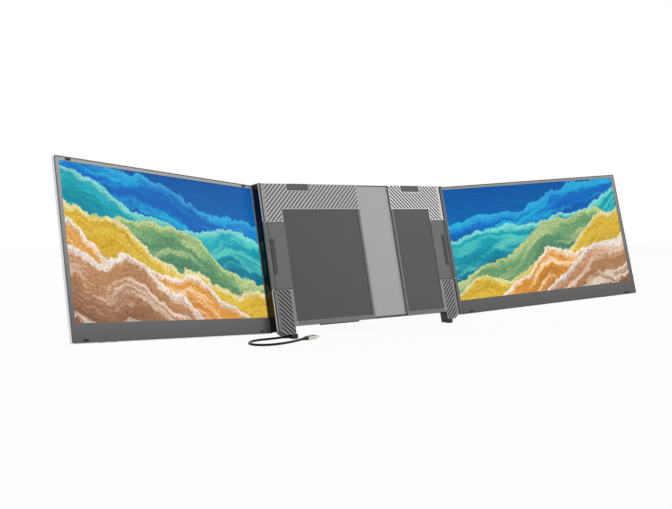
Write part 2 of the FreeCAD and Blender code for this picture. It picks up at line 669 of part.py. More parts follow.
def shell_outline(inner_x, inset, top_inset):
    """Back shell seen from the front, drawn in by the walls."""
    foot_x = -ARM_SIDE + FOOT_ARM_WIDTH
    return [
        (-ARM_SIDE + inset, FRAME_TOP - top_inset),
        (-ARM_SIDE + inset, ARM_BOTTOM + CORNER_CUT_Z + 0.4 * inset),
        (-ARM_SIDE + CORNER_CUT_X + 0.4 * inset, ARM_BOTTOM + inset),
        (foot_x - inset, ARM_BOTTOM + inset),
        (foot_x - inset, PLATE_BOTTOM + inset),
        (inner_x, PLATE_BOTTOM + inset),
        (inner_x, FRAME_TOP - top_inset),
    ]


def back_shell(inner_x, left_half):
    """Open fronted back shell of one half, open towards the other half for the tray."""
    shell = prism_xz(shell_outline(inner_x, 0, 0), COVER_BACK, FRAME_BACK)
    shell = round_edges(shell, 1.5, lambda edge: edge.BoundBox.YMin > FRAME_BACK - 1e-3
                        and edge.BoundBox.XMin < inner_x - 1e-3)
    hollow = prism_xz(shell_outline(inner_x + 1, FRAME_WALL, TOP_WALL), COVER_BACK - 1, INNER_BACK)
    shell = shell.cut(hollow)
    added = [rod(BOSS_RADIUS, INNER_BACK + 0.5 - COVER_BACK, (x, COVER_BACK, z), (0, 1, 0))
             for x, z in frame_screw_places(left_half)]
    removed = frame_screw_holes(left_half)
    stem_gap = CLIP_STEM_WIDTH / 2 + CLIP_SIDE_GAP
    removed.append(box(-CLIP_CENTRE - stem_gap, -CLIP_CENTRE + stem_gap, COVER_BACK - 1,
                       clip_stem_front() + CLIP_STEM_THICKNESS + CLIP_SIDE_GAP,
                       FRAME_TOP - TOP_WALL - 1, FRAME_TOP + 1))
    added.append(clip_anchor())
    if left_half:
        added += stand_seat() + tray_posts() + board_posts()
        removed += stand_pocket() + port_slots()
    else:
        added += slide_glide_seats()
    return cut_all(shell.fuse(added).removeSplitter(), removed)


# Telescoping tray

def tray():
    """Smooth channel fixed in the left half, on which the right half slides."""
    plate = box(TRAY_LEFT, TRAY_RIGHT, TRAY_FRONT, TRAY_FRONT + TRAY_THICKNESS, TRAY_BOTTOM, TRAY_TOP)
    back = TRAY_FRONT + TRAY_THICKNESS + TRAY_FLANGE
    low = box(TRAY_LEFT, TRAY_RIGHT, TRAY_FRONT, back, TRAY_BOTTOM, TRAY_BOTTOM + TRAY_THICKNESS)
    high = box(TRAY_LEFT, TRAY_RIGHT, TRAY_FRONT, back, TRAY_TOP - TRAY_THICKNESS, TRAY_TOP)
    well = box(clip_well_x(), TRAY_RIGHT + 1, TRAY_FRONT - 1, back + 1, clip_well_z(), TRAY_TOP + 1)
    return plate.fuse([low, high]).removeSplitter().cut(well)


def clip_well_x():
    return CLIP_CENTRE - CLIP_STEM_WIDTH / 2 - 2 * CLIP_SIDE_GAP


def clip_well_z():
    return FRAME_TOP - CLIP_STEM_LENGTH - CLIP_WELL_DEPTH


def rail_levels():
    """Lower edges of the two slide rails on the back of the tray."""
    return (TRAY_BOTTOM + TRAY_THICKNESS + 2, clip_well_z() - RAIL_WIDTH - 3)


def slide_rails():
    front = TRAY_FRONT + TRAY_THICKNESS
    return group([box(TRAY_LEFT + 5, TRAY_RIGHT - 1, front, front + RAIL_THICKNESS, level, level + RAIL_WIDTH)
                  for level in rail_levels()])


def glide_places():
    start = -(HALF_SEAM_X + SIDE_GAP)
    return [(start - GLIDE_FIRST - index * GLIDE_SPACING - GLIDE_LENGTH, level)
            for index in range(2) for level in rail_levels()]


def slide_glides():
    """Low friction pads on the right half that run on the rails."""
    front = TRAY_FRONT + TRAY_THICKNESS + RAIL_THICKNESS + SEAT_GAP
    return group([box(x, x + GLIDE_LENGTH, front, front + 3, level, level + RAIL_WIDTH)
                  for x, level in glide_places()])


def slide_glide_seats():
    front = TRAY_FRONT + TRAY_THICKNESS + RAIL_THICKNESS + SEAT_GAP + 3
    return [box(x + 1, x + GLIDE_LENGTH - 1, front, INNER_BACK + 0.5, level + 0.5, level + RAIL_WIDTH - 0.5)
            for x, level in glide_places()]


def tray_posts():
    """Posts of the left shell that carry the tray."""
    back = TRAY_FRONT + TRAY_THICKNESS
    reach = INNER_BACK + 0.5 - back
    left, right = TRAY_LEFT + 10, HALF_SEAM_X - 10
    high, low = FRAME_TOP - TRAY_POST_INSET, PLATE_BOTTOM + TRAY_POST_INSET
    return [rod(BOSS_RADIUS, reach, (left, back, high), (0, 1, 0)),
            rod(BOSS_RADIUS, reach - LEG_POCKET_DEPTH, (left, back, low), (0, 1, 0)),
            rod(BOSS_RADIUS, reach, (right, back, high), (0, 1, 0))]


# Top clips

def clip_stem_front():
    return COVER_BACK + RUN_GAP


def top_clip():
    """Spring loaded clip: a tab in the top edge on a stem that runs inside the half."""
    half = CLIP_WIDTH / 2
    tab = box(-CLIP_CENTRE - half, -CLIP_CENTRE + half, FRAME_FRONT - CLIP_PROUD, COVER_BACK,
              FRAME_TOP - CLIP_HEIGHT, FRAME_TOP)
    front = FRAME_FRONT - CLIP_PROUD
    tab = round_edges(tab, 0.5, lambda edge: edge.BoundBox.YMax < front + 1e-3)
    stem_half = CLIP_STEM_WIDTH / 2
    stem = box(-CLIP_CENTRE - stem_half, -CLIP_CENTRE + stem_half, clip_stem_front(),
               clip_stem_front() + CLIP_STEM_THICKNESS, FRAME_TOP - CLIP_STEM_LENGTH, FRAME_TOP)
    neck = box(-CLIP_CENTRE - stem_half, -CLIP_CENTRE + stem_half, COVER_BACK - 0.5,
               clip_stem_front() + 0.5, FRAME_TOP - CLIP_HEIGHT, FRAME_TOP)
    return tab.fuse([stem, neck]).removeSplitter()


def clip_spring_y():
    return clip_stem_front() + CLIP_SPRING_RADIUS


def clip_spring():
    """Coil spring under the stem, as the space that its turns fill."""
    low = FRAME_TOP - CLIP_STEM_LENGTH - CLIP_SPRING_LENGTH
    return rod(CLIP_SPRING_RADIUS, CLIP_SPRING_LENGTH, (-CLIP_CENTRE, clip_spring_y(), low), (0, 0, 1))


def clip_anchor():
    """Block of the back shell that holds the lower end of the spring."""
    top = FRAME_TOP - CLIP_STEM_LENGTH - CLIP_SPRING_LENGTH
    return box(-CLIP_CENTRE - 5, -CLIP_CENTRE + 5, clip_stem_front(), INNER_BACK + 0.5, top - 4, top)


# Kickstand

def stand_half_gap():
    return LEG_WIDTH / 2 + LEG_POCKET_GAP


def stand_seat():
    """Thicker stretch of the left shell round the kickstand's pocket."""
    half = stand_half_gap() + FRAME_WALL
    top = LEG_PIVOT + LEG_BARREL + LEG_POCKET_GAP + FRAME_WALL
    floor = FRAME_BACK - LEG_POCKET_DEPTH - FRAME_WALL
    deep = LEG_PIVOT_Y - LEG_BARREL - LEG_POCKET_GAP - FRAME_WALL
    return [box(-half, half, floor, INNER_BACK + 0.5, PLATE_BOTTOM, top),
            box(-half, half, deep, INNER_BACK + 0.5, LEG_PIVOT - 2 * LEG_BARREL - FRAME_WALL, top)]


def stand_pocket():
    """Space of the folded leg, without the knuckle that the shell keeps in its middle."""
    half = stand_half_gap()
    top = LEG_PIVOT + LEG_BARREL + LEG_POCKET_GAP
    flat = box(-half, half, FRAME_BACK - LEG_POCKET_DEPTH, FRAME_BACK + 1, PLATE_BOTTOM - 1, top)
    deep = box(-half, half, LEG_PIVOT_Y - LEG_BARREL - LEG_POCKET_GAP, FRAME_BACK + 1,
               LEG_PIVOT - LEG_BARREL - 2 * LEG_POCKET_GAP, top)
    half_knuckle = LEG_WIDTH / 2 - LEG_KNUCKLE - KNUCKLE_GAP
    knuckle = rod(LEG_BARREL, 2 * half_knuckle, (-half_knuckle, LEG_PIVOT_Y, LEG_PIVOT), (1, 0, 0))
    web = box(-half_knuckle, half_knuckle, LEG_PIVOT_Y - LEG_BARREL - 2, LEG_PIVOT_Y,
              LEG_PIVOT - 1.6, LEG_PIVOT + 1.6)
    pocket = flat.fuse(deep).cut(knuckle.fuse(web))
    reach = half + FRAME_WALL - 0.4
    pin = rod(LEG_PIN_RADIUS + PIN_FIT, 2 * reach, (-reach, LEG_PIVOT_Y, LEG_PIVOT), (1, 0, 0))
    return [pocket, pin]


def stand_pin():
    reach = stand_half_gap() + FRAME_WALL - 0.6
    return rod(LEG_PIN_RADIUS, 2 * reach, (-reach, LEG_PIVOT_Y, LEG_PIVOT), (1, 0, 0))


def stand_leg():
    """Kickstand leg folded flat into its pocket."""
    half = LEG_WIDTH / 2
    end_half = half - LEG_TAPER
    low = LEG_PIVOT - LEG_LENGTH + 1
    notch_half = half - LEG_KNUCKLE
    notch_z = LEG_PIVOT - LEG_BARREL - 2 * LEG_POCKET_GAP
    plate = prism_xz([(-half, LEG_PIVOT), (-half, PLATE_BOTTOM + 12), (-end_half, low), (end_half, low),
                      (half, PLATE_BOTTOM + 12), (half, LEG_PIVOT), (notch_half, LEG_PIVOT),
                      (notch_half, notch_z), (-notch_half, notch_z), (-notch_half, LEG_PIVOT)],
                     LEG_PIVOT_Y, LEG_PIVOT_Y + LEG_THICKNESS)
    barrels = [rod(LEG_BARREL, LEG_KNUCKLE, (side, LEG_PIVOT_Y, LEG_PIVOT), (1, 0, 0))
               for side in (-half, half - LEG_KNUCKLE)]
    bore = rod(LEG_PIN_RADIUS + PIN_FIT, LEG_WIDTH + 2, (-half - 1, LEG_PIVOT_Y, LEG_PIVOT), (1, 0, 0))
    return plate.fuse(barrels).removeSplitter().cut(bore)


def stand_foot():
    """Rubber bar that grips the end of the leg."""
    end_half = LEG_WIDTH / 2 - LEG_TAPER - 2
    centre_y = LEG_PIVOT_Y + LEG_THICKNESS / 2
    bar = rod(LEG_FOOT_RADIUS, 2 * end_half, (-end_half, centre_y, LEG_PIVOT - LEG_LENGTH), (1, 0, 0))
    slot = box(-end_half - 1, end_half + 1, LEG_PIVOT_Y, LEG_PIVOT_Y + LEG_THICKNESS,
               LEG_PIVOT - LEG_LENGTH + 1, LEG_PIVOT)
    return bar.cut(slot)


# Boards and ports of the frame

def main_board_corner():
    """Lower left corner (x, z) of the main board."""
    return -ARM_SIDE + MAIN_BOARD_INSET, LEG_PIVOT - MAIN_BOARD_DROP - MAIN_BOARD[1]


def board_back():
    return INNER_BACK - BOARD_STANDOFF


def post_places():
    """Posts (x, z) under the corners of the main board and the ends of the port board."""
    length, height = MAIN_BOARD
    left, low = main_board_corner()
    places = [(left + dx, low + dz) for dx in (POST_INSET, length - POST_INSET)
              for dz in (POST_INSET, height - POST_INSET)]
    left, low = port_board_corner()
    places += [(left + dx, low + PORT_BOARD_HEIGHT / 2) for dx in (POST_INSET, 2 * PORT_SPACING - POST_INSET)]
    return places


def board_posts():
    return [rod(POST_RADIUS, INNER_BACK + 0.5 - board_back(), (x, board_back(), z), (0, 1, 0))
            for x, z in post_places()]


def main_board():
    """Display hub board with its chips and the two display lead sockets."""
    length, height = MAIN_BOARD
    left, low = main_board_corner()
    front = board_back() - BOARD_THICKNESS
    board = box(left, left + length, front, board_back(), low, low + height)
    chips = []
    for index in range(4):
        x = left + length / 2 + (index - 1.5) * CHIP_PITCH - CHIP_SIZE / 2
        z = low + (height - CHIP_SIZE) / 2
        chips.append(box(x, x + CHIP_SIZE, front - CHIP_HEIGHT, front, z, z + CHIP_SIZE))
    sockets = []
    for x in (left + 2 * POST_INSET, left + length - 2 * POST_INSET - SOCKET_LENGTH):
        top = low + height - SOCKET_DEPTH
        sockets.append(box(x, x + SOCKET_LENGTH, front - SOCKET_HEIGHT, front, top - SOCKET_DEPTH, top))
    return board.fuse(chips + sockets).removeSplitter()


def port_board_corner():
    return -ARM_SIDE + PORT_BOARD_INSET, PLATE_BOTTOM + FRAME_WALL + SEAT_GAP


def port_centres():
    left, _ = port_board_corner()
    return [left + PORT_SPACING * (index + 0.5) for index in range(2)]


def port_slots():
    """Openings in the lower edge of the left shell, one for each port."""
    front = board_back() - BOARD_THICKNESS
    gap = SEAT_GAP
    return [box(x - PORT_WIDTH / 2 - gap, x + PORT_WIDTH / 2 + gap, front - PORT_HEIGHT - gap, front + gap,
                PLATE_BOTTOM - 1, PLATE_BOTTOM + FRAME_WALL + 1) for x in port_centres()]


def port_board():
    left, low = port_board_corner()
    back = board_back()
    return box(left, left + 2 * PORT_SPACING, back - BOARD_THICKNESS, back, low, low + PORT_BOARD_HEIGHT)


def usb_ports():
    """Two receptacles: oval steel shells with a tongue inside."""
    back = board_back() - BOARD_THICKNESS
    ports = []
    for x in port_centres():
        low = PLATE_BOTTOM + SEAT_GAP
        shell = box(x - PORT_WIDTH / 2, x + PORT_WIDTH / 2, back - PORT_HEIGHT, back, low, low + PORT_DEPTH)
        shell = round_edges(shell, PORT_HEIGHT / 2 - 0.1, lambda edge: along(edge, Vector(0, 0, 1)))
        inner = box(x - PORT_WIDTH / 2 + PORT_WALL, x + PORT_WIDTH / 2 - PORT_WALL,
                    back - PORT_HEIGHT + PORT_WALL, back - PORT_WALL, low - 1, low + PORT_DEPTH - 1)
        inner = round_edges(inner, PORT_HEIGHT / 2 - 0.45, lambda edge: along(edge, Vector(0, 0, 1)))
        tongue = box(x - 3.3, x + 3.3, back - PORT_HEIGHT / 2 - 0.35, back - PORT_HEIGHT / 2 + 0.35,
                     low + 0.8, low + PORT_DEPTH - 0.9)
        ports.append(shell.cut(inner).fuse(tongue).removeSplitter())
    return group(ports)


# Feet and USB lead, modelled on the table

def lean(shape):
    """Tip a shape of the upright frame back about X and stand it on the table."""
    placed = shape.copy()
    placed.rotate(Vector(0, 0, 0), Vector(1, 0, 0), -LEAN)
    placed.translate(Vector(0, 0, -TABLE_Z))
    return placed


def arm_front_y():
    return ARM_BOTTOM * math.sin(LEAN_RAD) + FRAME_FRONT * math.cos(LEAN_RAD)


def foot_span():
    """Inner and outer X of the left foot."""
    inner = -ARM_SIDE + FOOT_ARM_WIDTH + FOOT_INNER
    return inner - FOOT_WIDTH, inner


def foot():
    """Wedge under the left arm, flat on the table and cut to the arm's slanting underside."""
    outer, inner = foot_span()
    front = arm_front_y() - FOOT_TOE
    block = box(outer, inner, front, FOOT_BACK, 0, FRONT_FOOT_HEIGHT)
    block = round_edges(block, 1.5, lambda edge: along(edge, Vector(0, 0, 1)))
    above = box(outer - 5, inner + 5, -FOOT_TOE - 5, FRAME_BACK + 10, ARM_BOTTOM, ARM_BOTTOM + 20)
    return block.cut(lean(above))


# Points that the lead's middle line is drawn through: x and y from where it leaves the
# left foot, and height above the table
CORD_ROUTE = [
    (-CORD_RELIEF_LENGTH, 0.0, CORD_EXIT_HEIGHT), (-20.0, 1.0, 2.4), (-32.9, 3.2, CORD_REST),
    (-46.9, 3.8, CORD_REST), (-61.9, 0.6, CORD_REST), (-74.5, -8.6, CORD_REST),
    (-80.3, -22.2, CORD_REST), (-76.1, -35.4, CORD_REST), (-62.9, -43.2, CORD_REST),
    (-45.9, -44.2, CORD_REST), (-28.9, -40.9, CORD_REST), (-12.9, -36.7, 2.3), (1.1, -32.2, 3.05),
]


def cord_points():
    return [Vector(foot_span()[0] + x, CORD_EXIT_Y + y, z) for x, y, z in CORD_ROUTE]


def cord_wire(points):
    """Straight runs joined by tangent arcs as large as the runs allow."""
    edges, radii = [], []
    last = points[0]
    for before, corner, after in zip(points, points[1:], points[2:]):
        into = corner - before
        out = after - corner
        half_turn = into.getAngle(out) / 2
        setback = 0.45 * min(into.Length, out.Length)
        radii.append(setback / math.tan(half_turn))
        into.normalize()
        out.normalize()
        start = corner - into * setback
        end = corner + out * setback
        towards = out - into
        towards.normalize()
        middle = corner + towards * (radii[-1] / math.cos(half_turn) - radii[-1])
        edges.append(Part.LineSegment(last, start).toShape())
        edges.append(Part.Arc(start, middle, end).toShape())
        last = end
    edges.append(Part.LineSegment(last, points[-1]).toShape())
    return Part.Wire(edges), radii


def cord():
    """Round lead on its route, cut flush with the sleeve and the plug's collar."""
    points = cord_points()
    wire, radii = cord_wire(points)
    ring = Part.Wire(Part.makeCircle(CORD_DIAMETER / 2, points[0], points[1] - points[0]))
    tube = wire.makePipeShell([ring], True, False)
    print("lead length", round(wire.Length, 1), "smallest radius", round(min(radii), 1))
    return cut_all(tube, [cord_relief(), plug_collar()])


def cord_relief():
    """Tapered sleeve where the lead leaves the foot."""
    start = Vector(foot_span()[0], CORD_EXIT_Y, CORD_EXIT_HEIGHT)
    tip_radius = CORD_DIAMETER / 2 + 0.1
    return Part.makeCone(CORD_RELIEF_RADIUS, tip_radius, CORD_RELIEF_LENGTH, start, Vector(-1, 0, 0))


def plug_frame(shape):
    """Move a plug piece, drawn along +X from the lead's end, to where the plug lies."""
    before, end = cord_points()[-2:]
    heading = math.degrees(math.atan2(end.y - before.y, end.x - before.x))
    placed = shape.copy()
    placed.rotate(Vector(0, 0, 0), Vector(0, 0, 1), heading)
    placed.translate(end)
    return placed


def rounded_bar(x0, x1, width, height, radius):
    bar = box(x0, x1, -width / 2, width / 2, -height / 2, height / 2)
    return round_edges(bar, radius, lambda edge: along(edge, Vector(1, 0, 0)))


def plug_collar():
    """Soft collar between lead and plug."""
    return plug_frame(Part.makeCone(CORD_DIAMETER / 2 + 0.1, PLUG_HEIGHT / 2 - 0.3, PLUG_COLLAR,
                                    Vector(0, 0, 0), Vector(1, 0, 0)))


def plug_shell():
    end = PLUG_COLLAR + PLUG_LENGTH
    return plug_frame(rounded_bar(PLUG_COLLAR, end, PLUG_WIDTH, PLUG_HEIGHT, PLUG_HEIGHT / 2 - 0.3))


def plug_tip():
    start = PLUG_COLLAR + PLUG_LENGTH
    end = start + PLUG_TIP_LENGTH
    tip = rounded_bar(start, end, PLUG_TIP_WIDTH, PLUG_TIP_HEIGHT, PLUG_TIP_HEIGHT / 2 - 0.05)
    mouth = rounded_bar(start + 1, end + 1, PLUG_TIP_WIDTH - 0.7, PLUG_TIP_HEIGHT - 0.7,
                        PLUG_TIP_HEIGHT / 2 - 0.45)
    return plug_frame(tip.cut(mouth))


# Assembly

def swing(shape, degrees):
    """Turn a left screen piece forward about its hinge axis."""
    placed = shape.copy()
    placed.rotate(Vector(-AXIS_HALF, 0, 0), Vector(0, 0, 1), degrees)
    return placed


def open_stand(shape):
    placed = shape.copy()
    placed.rotate(Vector(0, LEG_PIVOT_Y, LEG_PIVOT), Vector(1, 0, 0), LEG_OPENING)
    return placed


def half_nodes(side, left_half):
    """Pieces of one frame half, given on the left."""
    trim = TRIM_LEFT if left_half else TRIM_RIGHT
    cover_x = LEFT_COVER_END if left_half else -(HALF_SEAM_X + SIDE_GAP)
    shell_x = HALF_SEAM_X if left_half else -(HALF_SEAM_X + SIDE_GAP)
    holes = group(frame_screw_holes(left_half))
    nodes = {
        "back_shell": back_shell(shell_x, left_half),
        "upper_cover": front_cover(cover_x, trim, 1).cut(holes),
        "middle_cover": mid_cover(trim).cut(holes),
        "lower_cover": lower_cover(trim, -1).cut(holes),
        "arm_pad": arm_pad(trim),
        "hinge_pins": hinge_pins(),
        "friction_sleeves": friction_sleeves(),
        "frame_screws": frame_screws(left_half),
        "top_clip": top_clip(),
        "clip_spring": clip_spring(),
    }
    return {name + "_" + side: lean(shape if left_half else mirror_x(shape)) for name, shape in nodes.items()}


def screen_nodes(side, offset, degrees):
    """Pieces of one screen, given on the left, open and flat."""
    nodes = {
        "screen_case": screen_case(offset),
        "screen_bezel": screen_bezel(offset, side == "left"),
        "display_panel": lcd_panel(offset),
        "backlight": diffuser(offset),
        "driver_board": driver_board(offset),
        "button_board": button_board(offset),
        "hinge_bracket": hinge_bracket(offset),
        "screen_bumpers": group(bumper_solids(offset, BUMPER_PROUD, side == "left")),
        "screen_screws": screen_screws(offset),
        "power_button": button(BUTTON_PLACES[0], offset),
        "menu_button": button(BUTTON_PLACES[1], offset),
    }
    placed = {}
    for name, shape in nodes.items():
        turned = swing(shape, degrees)
        placed[name + "_" + side] = lean(turned if side == "left" else mirror_x(turned))
    return placed


def all_nodes():
    nodes = {}
    nodes.update(half_nodes("left", True))
    nodes.update(half_nodes("right", False))
    nodes.update(screen_nodes("left", OFFSET_LEFT, SWING_LEFT))
    nodes.update(screen_nodes("right", OFFSET_RIGHT, SWING_RIGHT))
    nodes["centre_tray"] = lean(tray())
    nodes["slide_rails"] = lean(slide_rails())
    nodes["slide_glides"] = lean(mirror_x(slide_glides()))
    nodes["main_board"] = lean(main_board())
    nodes["port_board"] = lean(port_board())
    nodes["usb_ports"] = lean(usb_ports())
    nodes["kickstand_leg"] = lean(open_stand(stand_leg()))
    nodes["kickstand_foot"] = lean(open_stand(stand_foot()))
    nodes["kickstand_pin"] = lean(stand_pin())
    nodes["foot_left"] = foot()
    nodes["foot_right"] = mirror_x(foot())
    nodes["cord_relief"] = cord_relief()
    nodes["usb_cord"] = cord()
    nodes["plug_collar"] = plug_collar()
    nodes["plug_shell"] = plug_shell()
    nodes["plug_tip"] = plug_tip()
    return nodes


CORD_NODES = ("cord_relief", "usb_cord", "plug_collar", "plug_shell", "plug_tip")


def origin_shift(nodes):
    """Move that brings the middle of the standing part's footprint to the origin."""
    bounds = FreeCAD.BoundBox()
    for name, shape in nodes.items():
        if name not in CORD_NODES:
            bounds.add(shape.optimalBoundingBox(False))
    return Vector(-bounds.Center.x, -bounds.Center.y, -bounds.ZMin)


def build():
    nodes = all_nodes()
    shift = origin_shift(nodes)
    os.makedirs("parts", exist_ok=True)
    for name, shape in nodes.items():
        placed = shape.translated(shift)
        placed.exportStep("parts/" + name + ".step")
    print("nodes", len(nodes), "origin shift", [round(value, 4) for value in shift])
    return nodes, shift


NODES, SHIFT = build()
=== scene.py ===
# %% [markdown]
# # A laptop screen extender, dressed piece by piece
# The construction comes in as a fixed frame: every casing, pin and screw already stands at
# its real size. This lesson gives each piece its finish, lays the USB lead on the table and
# sets up the studio. Everything is in metres.

# %% Load the frame
import json
import math

import bpy
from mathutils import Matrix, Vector


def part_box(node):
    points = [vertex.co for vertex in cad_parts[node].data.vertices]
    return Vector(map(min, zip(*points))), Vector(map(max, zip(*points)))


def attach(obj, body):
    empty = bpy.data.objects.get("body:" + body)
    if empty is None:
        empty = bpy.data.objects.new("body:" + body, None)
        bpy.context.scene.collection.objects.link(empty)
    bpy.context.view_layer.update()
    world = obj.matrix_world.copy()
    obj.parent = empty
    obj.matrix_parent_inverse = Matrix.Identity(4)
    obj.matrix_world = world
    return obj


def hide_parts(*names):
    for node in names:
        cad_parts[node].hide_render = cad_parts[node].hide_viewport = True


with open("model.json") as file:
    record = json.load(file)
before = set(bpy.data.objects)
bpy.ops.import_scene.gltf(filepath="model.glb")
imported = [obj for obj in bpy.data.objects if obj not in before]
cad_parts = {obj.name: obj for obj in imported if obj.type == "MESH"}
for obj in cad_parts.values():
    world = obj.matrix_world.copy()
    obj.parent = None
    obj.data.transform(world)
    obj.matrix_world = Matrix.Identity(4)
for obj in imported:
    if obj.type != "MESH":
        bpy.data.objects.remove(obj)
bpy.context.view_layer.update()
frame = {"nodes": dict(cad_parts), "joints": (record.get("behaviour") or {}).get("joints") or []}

NODES = frame["nodes"]

# %% [markdown]
# ## The camera
# The photograph looks at the left screen from nearly straight in front and sees the right one
# at a slant. A focal length of 47.4 mm on a 36 mm sensor, a metre and a third away, gives the
# same narrowing of the far screen.

# %% Camera
CAMERA_PLACE = Vector((-0.8550, -1.0848, 0.1933))
CAMERA_DOWN = math.radians(3.09)
CAMERA_YAW = math.radians(35.54)

camera_data = bpy.data.cameras.new("camera")
camera_data.lens = 47.42
camera_data.sensor_width = 36.0
camera = bpy.data.objects.new("camera", camera_data)
camera.location = CAMERA_PLACE
camera.rotation_euler = (math.pi / 2 - CAMERA_DOWN, 0.0, -CAMERA_YAW)
bpy.context.collection.objects.link(camera)
bpy.context.scene.camera = camera
print("camera at", tuple(round(c, 3) for c in camera.location))

# %% [markdown]
# ## The frame's own directions
# The whole frame leans back on its kickstand, so "up" and "back" on it aren't the table's.
# Its hinge axes give both, and the finishes below are laid out along them.

# %% Directions and measures
JOINTS = {joint["name"]: joint for joint in frame["joints"]}
UP = Vector(JOINTS["screen_left_swing"]["axis"]).normalized()
BACK = Vector((0.0, UP.z, -UP.y))
ACROSS = {"left": Vector((-1.0, 0.0, 0.0)), "right": Vector((1.0, 0.0, 0.0))}
FORWARD = {side: -math.radians(JOINTS["screen_" + side + "_swing"]["range_deg"][0]) for side in ACROSS}


def outward(side):
    """Direction from a screen's hinge to its free end."""
    return ACROSS[side] * math.cos(FORWARD[side]) - BACK * math.sin(FORWARD[side])


def behind(side):
    """Direction from a screen's picture to its back."""
    return ACROSS[side] * math.sin(FORWARD[side]) + BACK * math.cos(FORWARD[side])


def span(node, direction):
    """Lowest and highest value of a node's points along a direction."""
    values = [direction.dot(vertex.co) for vertex in NODES[node].data.vertices]
    return min(values), max(values)


for side in ("left", "right"):
    low, high = span("display_panel_" + side, outward(side))
    print(side, "panel is", round((high - low) * 1000, 1), "mm long")

# %% [markdown]
# ## Writing shader maths as Python
# Each finish is a small sum of noises, stripes and masks. A wrapper round a node's socket lets
# such sums be written as expressions, so `0.4 + noise * 0.1` adds the two Math nodes itself.

# %% Socket wrapper


class Wire:
    """One output socket, with arithmetic that adds Math nodes."""

    def __init__(self, tree, socket):
        self.tree = tree
        self.socket = socket

    def math(self, operation, *values, **settings):
        return self.tree.add("ShaderNodeMath", {"operation": operation, **settings}, *values)

    def __add__(self, other):
        return self.math("ADD", self, other)

    def __radd__(self, other):
        return self.math("ADD", other, self)

    def __sub__(self, other):
        return self.math("SUBTRACT", self, other)

    def __rsub__(self, other):
        return self.math("SUBTRACT", other, self)

    def __mul__(self, other):
        return self.math("MULTIPLY", self, other)

    def __rmul__(self, other):
        return self.math("MULTIPLY", other, self)

    def __gt__(self, other):
        return self.math("GREATER_THAN", self, other)

    def __lt__(self, other):
        return self.math("LESS_THAN", self, other)


class Finish:
    """A material whose nodes are added by `add` and end in one Principled shader."""

    def __init__(self, name, **constants):
        self.material = bpy.data.materials.new(name)
        self.material.use_nodes = True
        self.nodes = self.material.node_tree.nodes
        self.links = self.material.node_tree.links
        self.shader = self.nodes["Principled BSDF"]
        for socket, value in constants.items():
            self.shader.inputs[socket.replace("_", " ")].default_value = value
        self.place = self.add("ShaderNodeTexCoord", {}, output="Object")

    def add(self, kind, settings, *values, output=0, **named):
        """Any node, with its settings, its inputs by order or by name, and the output wanted."""
        node = self.nodes.new(kind)
        for name, value in settings.items():
            if name == "stops":
                self.set_stops(node.color_ramp, value)
            else:
                setattr(node, name, value)
        for key, value in list(enumerate(values)) + list(named.items()):
            if isinstance(key, str):
                key = int(key) if key.isdigit() else key.replace("_", " ")
            socket = node.inputs[key]
            if isinstance(value, Wire):
                self.links.new(value.socket, socket)
            else:
                socket.default_value = value
        return Wire(self, node.outputs[output])

    def set_stops(self, ramp, stops):
        while len(ramp.elements) < len(stops):
            ramp.elements.new(1.0)
        for element, (position, colour) in zip(ramp.elements, stops):
            element.position = position
            element.color = (*colour, 1.0)

    def along(self, direction, start=0.0):
        """Distance along a direction, in metres."""
        reach = self.add("ShaderNodeVectorMath", {"operation": "DOT_PRODUCT"},
                         self.place, direction, output="Value")
        return reach - start

    def noise(self, scale, detail=2.0, vector=None, **extra):
        return self.add("ShaderNodeTexNoise", {}, Vector=vector or self.place,
                        Scale=scale, Detail=detail, **extra)

    def mix(self, factor, first, second, blend="MIX"):
        return self.add("ShaderNodeMix", {"data_type": "RGBA", "blend_type": blend},
                        factor, output=2, **{"6": first, "7": second})

    def feed(self, **sockets):
        """Join values to the shader's own sockets."""
        for name, wire in sockets.items():
            self.links.new(wire.socket, self.shader.inputs[name.replace("_", " ")])
        return self

    def bump(self, height, strength, distance):
        normal = self.add("ShaderNodeBump", {}, Strength=strength, Distance=distance, Height=height)
        return self.feed(Normal=normal)


print("shader helpers ready")

# %% [markdown]
# ## The USB lead
# The real lead is a soft round cable, about a hand's width long, that leaves the left foot and
# runs in one loose bend over the table to its plug. A bevelled curve gives a true tube, and a
# NURBS line through loose points bends the way a cable does, with no kinks. The bevel is one
# metre and each point's radius brings it down to the lead's own, so that Blender's box of the
# curve is the tube's.

# %% Lead
LEAD_DIAMETER = 0.0036
LEAD_REST = LEAD_DIAMETER / 2 + 0.00005
LEAD_ROUTE = [
    (-0.0120, 0.0, 0.0028), (-0.0200, 0.0010, 0.0024), (-0.0329, 0.0032, LEAD_REST),
    (-0.0469, 0.0038, LEAD_REST), (-0.0619, 0.0006, LEAD_REST), (-0.0745, -0.0086, LEAD_REST),
    (-0.0803, -0.0222, LEAD_REST), (-0.0761, -0.0354, LEAD_REST), (-0.0629, -0.0432, LEAD_REST),
    (-0.0459, -0.0442, LEAD_REST), (-0.0289, -0.0409, LEAD_REST), (-0.0129, -0.0367, 0.0023),
    (0.0011, -0.0322, 0.00305),
]
relief_low, relief_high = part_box("cord_relief")
leaves_foot = Vector((relief_high.x, (relief_low.y + relief_high.y) / 2, 0.0))

